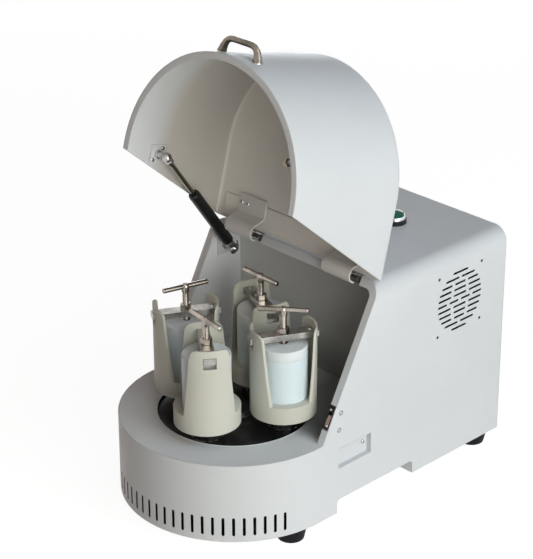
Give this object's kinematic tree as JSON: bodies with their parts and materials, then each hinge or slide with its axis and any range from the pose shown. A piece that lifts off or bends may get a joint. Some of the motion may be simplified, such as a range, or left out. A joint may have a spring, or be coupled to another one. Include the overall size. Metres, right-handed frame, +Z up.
{
  "type": "planetary ball mill",
  "caption": "Bench planetary ball mill: round-fronted cabinet with a hinged hood, gas strut and a turntable of clamped grinding jars",
  "frame": {"origin": "centre of the footprint, on the floor under the feet", "axes": "+Z up, +X to the right seen from the front, the round drum faces -Y; the hood is stored open"},
  "size_m": [0.3, 0.5024, 0.6218],
  "materials": {
    "shell_paint": "satin pale grey-white powder coat",
    "foot_rubber": "matt black moulded rubber",
    "steel": "plain machined steel",
    "chrome": "polished chrome plate",
    "holder_paint": "satin cream paint",
    "jar_plastic": "white nylon",
    "disc_paint": "gloss black paint",
    "strut_paint": "gloss black paint",
    "black_plastic": "black moulded plastic",
    "cast_metal": "grey painted casting",
    "plate_steel": "grey painted plate",
    "pulley_metal": "turned aluminium",
    "belt_rubber": "black belt rubber",
    "lens_green": "translucent green plastic"
  },
  "bodies": {
    "cabinet": {"housing_shell": "shell_paint", "deck_plate": "shell_paint", "inner_wall": "shell_paint", "rear_panel": "shell_paint", "base_plate": "shell_paint", "feet": "foot_rubber", "mounting_plate": "plate_steel", "support_pillars": "steel", "bearing_housing": "cast_metal", "sun_pulley": "steel", "motor": "cast_metal", "drive_belt": "belt_rubber", "fan_frame": "black_plastic", "button_body": "black_plastic", "button_ring": "chrome", "speed_controller": "black_plastic", "power_inlet": "black_plastic", "safety_switch": "black_plastic", "strut_bracket_lower": "steel", "hinge_knuckles": "steel", "cabinet_screws": "steel"},
    "hood": {"hood_shell": "shell_paint", "hood_handle": "chrome", "hinge_arms": "shell_paint", "strut_bracket_upper": "steel", "hood_striker": "steel"},
    "strut_tube": {"strut_cylinder": "strut_paint"},
    "strut_piston": {"strut_rod": "chrome"},
    "turntable": {"turntable_disc": "disc_paint", "main_shaft": "steel", "main_pulley": "pulley_metal", "planet_belts": "belt_rubber"},
    "motor_shaft": {"motor_pulley": "pulley_metal"},
    "fan_rotor": {"fan_impeller": "black_plastic"},
    "start_button": {"button_cap": "lens_green"},
    "knob": {"speed_knob": "black_plastic"},
    "station_1": {"holder_1": "holder_paint", "jar_1": "jar_plastic", "jar_lid_1": "jar_plastic", "clamp_bar_1": "steel", "spindle_1": "steel"},
    "clamp_1": {"clamp_screw_1": "steel"},
    "station_2": {"holder_2": "holder_paint", "jar_2": "jar_plastic", "jar_lid_2": "jar_plastic", "clamp_bar_2": "steel", "spindle_2": "steel"},
    "clamp_2": {"clamp_screw_2": "steel"},
    "station_3": {"holder_3": "holder_paint", "jar_3": "jar_plastic", "jar_lid_3": "jar_plastic", "clamp_bar_3": "steel", "spindle_3": "steel"},
    "clamp_3": {"clamp_screw_3": "steel"},
    "station_4": {"holder_4": "holder_paint", "jar_4": "jar_plastic", "jar_lid_4": "jar_plastic", "clamp_bar_4": "steel", "spindle_4": "steel"},
    "clamp_4": {"clamp_screw_4": "steel"}
  },
  "joints": [
    {"name": "hood_hinge", "type": "hinge", "parent": "cabinet", "child": "hood", "pos_m": [0, 0.00455, 0.314], "axis": [1, 0, 0], "range_deg": [0, 104.6]},
    {"name": "strut_tilt", "type": "hinge", "parent": "cabinet", "child": "strut_tube", "pos_m": [-0.129, 0.02075, 0.272], "axis": [1, 0, 0], "range_deg": [0, 92.63]},
    {"name": "strut_extend", "type": "slide", "parent": "strut_tube", "child": "strut_piston", "axis": [0, -0.5761, 0.8174], "range_m": [-0.06235, 0]},
    {"name": "turntable_spin", "type": "hinge", "parent": "cabinet", "child": "turntable", "pos_m": [0, -0.10125, 0.1285], "axis": [0, 0, 1], "continuous": true},
    {"name": "motor_spin", "type": "hinge", "parent": "cabinet", "child": "motor_shaft", "pos_m": [0, 0.15375, 0.1285], "axis": [0, 0, 1], "continuous": true},
    {"name": "station_1_spin", "type": "hinge", "parent": "turntable", "child": "station_1", "pos_m": [0.02082, -0.1685, 0.1445], "axis": [0, 0, 1], "continuous": true},
    {"name": "station_2_spin", "type": "hinge", "parent": "turntable", "child": "station_2", "pos_m": [0.06725, -0.08043, 0.1445], "axis": [0, 0, 1], "continuous": true},
    {"name": "station_3_spin", "type": "hinge", "parent": "turntable", "child": "station_3", "pos_m": [-0.02082, -0.034, 0.1445], "axis": [0, 0, 1], "continuous": true},
    {"name": "station_4_spin", "type": "hinge", "parent": "turntable", "child": "station_4", "pos_m": [-0.06725, -0.12207, 0.1445], "axis": [0, 0, 1], "continuous": true},
    {"name": "clamp_1_turn", "type": "hinge", "parent": "station_1", "child": "clamp_1", "pos_m": [0.02082, -0.1685, 0.2395], "axis": [0, 0, 1], "range_deg": [0, 360]},
    {"name": "clamp_2_turn", "type": "hinge", "parent": "station_2", "child": "clamp_2", "pos_m": [0.06725, -0.08043, 0.2395], "axis": [0, 0, 1], "range_deg": [0, 360]},
    {"name": "clamp_3_turn", "type": "hinge", "parent": "station_3", "child": "clamp_3", "pos_m": [-0.02082, -0.034, 0.2395], "axis": [0, 0, 1], "range_deg": [0, 360]},
    {"name": "clamp_4_turn", "type": "hinge", "parent": "station_4", "child": "clamp_4", "pos_m": [-0.06725, -0.12207, 0.2395], "axis": [0, 0, 1], "range_deg": [0, 360]},
    {"name": "fan_spin", "type": "hinge", "parent": "cabinet", "child": "fan_rotor", "pos_m": [0.138, 0.15875, 0.2455], "axis": [1, 0, 0], "continuous": true},
    {"name": "start_button_press", "type": "slide", "parent": "cabinet", "child": "start_button", "axis": [0, 0, -1], "range_m": [0, 0.0025], "stiffness_N_per_m": 600},
    {"name": "speed_knob_turn", "type": "hinge", "parent": "cabinet", "child": "knob", "pos_m": [-0.023, 0.13575, 0.318], "axis": [0, 0, -1], "range_deg": [0, 270]}
  ],
  "couplings": [
    {"joint": "strut_tilt", "follows": "hood_hinge", "ratio": 0.88464},
    {"joint": "strut_extend", "follows": "hood_hinge", "m_per_rad": -0.0341},
    {"joint": "motor_spin", "follows": "turntable_spin", "ratio": 2.0455},
    {"joint": "station_1_spin", "follows": "turntable_spin", "ratio": -2},
    {"joint": "station_2_spin", "follows": "turntable_spin", "ratio": -2},
    {"joint": "station_3_spin", "follows": "turntable_spin", "ratio": -2},
    {"joint": "station_4_spin", "follows": "turntable_spin", "ratio": -2}
  ]
}
